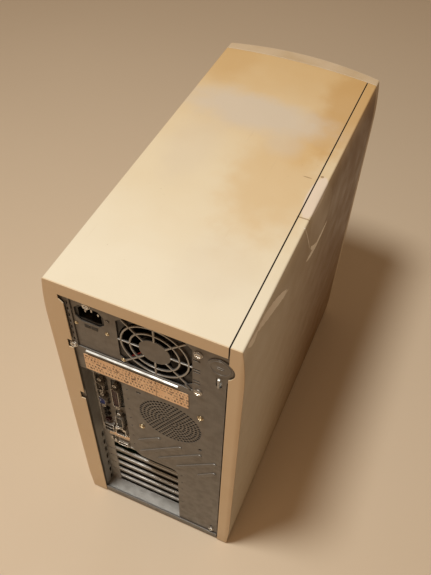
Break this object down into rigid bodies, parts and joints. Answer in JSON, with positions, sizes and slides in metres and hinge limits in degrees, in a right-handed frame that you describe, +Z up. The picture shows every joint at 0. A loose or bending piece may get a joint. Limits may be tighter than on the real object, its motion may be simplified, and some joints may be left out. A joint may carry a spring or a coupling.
{
  "type": "desktop computer tower",
  "caption": "Beige steel desktop computer tower with a bowed plastic front, a recessed rear port and card area, a power supply, fans, drives and a sliding side panel.",
  "frame": {"origin": "centre of the footprint on the floor, midway between the bowed front and the rear flanges", "axes": "+Z up, the front faces -Y, the rear ports face +Y, the motherboard side is +X and the sliding side panel is -X"},
  "size_m": [0.208, 0.46, 0.452],
  "materials": {
    "cover_paint": "fine-textured baked enamel, aged and unevenly yellowed",
    "bezel_plastic": "fine spark-eroded ABS, slightly aged",
    "chassis_steel": "galvanised sheet with a dull grey sheen",
    "bright_steel": "bright nickel or zinc plate",
    "cast_aluminium": "cast and machined, satin",
    "black_plastic": "moulded black",
    "foot_rubber": "matt",
    "circuit_board": "solder mask with tinned pads",
    "label_paper": null,
    "ribbon_pvc": "ribbed flat cable",
    "blue_plastic": "moulded connector body",
    "burgundy_plastic": "moulded connector body",
    "drive_plastic": "moulded, aged",
    "light_lens": "clear tinted light pipe"
  },
  "bodies": {
    "chassis": {"top_cover": "cover_paint", "front_bezel": "bezel_plastic", "bay_cover": "bezel_plastic", "light_pipe": "light_lens", "base_pan": "chassis_steel", "foot_1": "foot_rubber", "foot_2": "foot_rubber", "foot_3": "foot_rubber", "foot_4": "foot_rubber", "rear_panel": "chassis_steel", "recess_wall": "chassis_steel", "recess_floor": "chassis_steel", "slot_cover_3": "bright_steel", "slot_cover_4": "bright_steel", "slot_cover_5": "bright_steel", "slot_cover_6": "bright_steel", "slot_cover_7": "bright_steel", "card_bracket": "bright_steel", "motherboard_tray": "chassis_steel", "front_plate": "chassis_steel", "top_frame": "chassis_steel", "drive_cage_wide": "chassis_steel", "drive_cage_narrow": "chassis_steel", "case_fan_frame": "black_plastic", "psu_case": "chassis_steel", "psu_fan_frame": "black_plastic", "psu_circuit": "circuit_board", "power_inlet": "black_plastic", "psu_screw_1": "bright_steel", "psu_screw_2": "bright_steel", "psu_screw_3": "bright_steel", "psu_screw_4": "bright_steel", "padlock_loop": "bright_steel", "label_strip": "label_paper", "motherboard": "circuit_board", "memory_module": "circuit_board", "cpu_heatsink": "cast_aluminium", "cpu_fan_frame": "black_plastic", "expansion_card": "circuit_board", "serial_port": "bright_steel", "video_port": "blue_plastic", "printer_port": "burgundy_plastic", "game_port": "bright_steel", "audio_jacks": "black_plastic", "network_usb_ports": "bright_steel", "keyboard_mouse_ports": "black_plastic", "port_shield": "bright_steel", "optical_drive": "drive_plastic", "floppy_drive": "drive_plastic", "hard_disk": "cast_aluminium", "drive_ribbon_cable": "ribbon_pvc", "supply_lead": "black_plastic"},
    "side_panel": {"side_panel": "cover_paint"},
    "psu_fan": {"psu_fan_rotor": "black_plastic"},
    "case_fan": {"case_fan_rotor": "black_plastic"},
    "cpu_fan": {"cpu_fan_rotor": "black_plastic"},
    "power_button": {"power_button": "bezel_plastic"},
    "optical_tray": {"optical_tray": "drive_plastic"},
    "optical_button": {"optical_button": "drive_plastic"},
    "floppy_button": {"floppy_button": "drive_plastic"}
  },
  "joints": [
    {"name": "side_panel_slide", "type": "slide", "parent": "chassis", "child": "side_panel", "axis": [0, 1, 0], "range_m": [0, 0.018]},
    {"name": "psu_fan_spin", "type": "hinge", "parent": "chassis", "child": "psu_fan", "pos_m": [-0.0112, 0.21, 0.393], "axis": [0, 1, 0], "continuous": true},
    {"name": "case_fan_spin", "type": "hinge", "parent": "chassis", "child": "case_fan", "pos_m": [-0.0246, 0.213, 0.2723], "axis": [0, 1, 0], "continuous": true},
    {"name": "cpu_fan_spin", "type": "hinge", "parent": "chassis", "child": "cpu_fan", "pos_m": [0.032, 0.108, 0.25], "axis": [1, 0, 0], "continuous": true},
    {"name": "power_button_press", "type": "slide", "parent": "chassis", "child": "power_button", "axis": [0, 1, 0], "range_m": [0, 0.0025], "stiffness_N_per_m": 400},
    {"name": "optical_tray_slide", "type": "slide", "parent": "chassis", "child": "optical_tray", "axis": [0, -1, 0], "range_m": [0, 0.13]},
    {"name": "optical_button_press", "type": "slide", "parent": "chassis", "child": "optical_button", "axis": [0, 1, 0], "range_m": [0, 0.0012], "stiffness_N_per_m": 400},
    {"name": "floppy_button_press", "type": "slide", "parent": "chassis", "child": "floppy_button", "axis": [0, 1, 0], "range_m": [0, 0.005], "stiffness_N_per_m": 150}
  ]
}
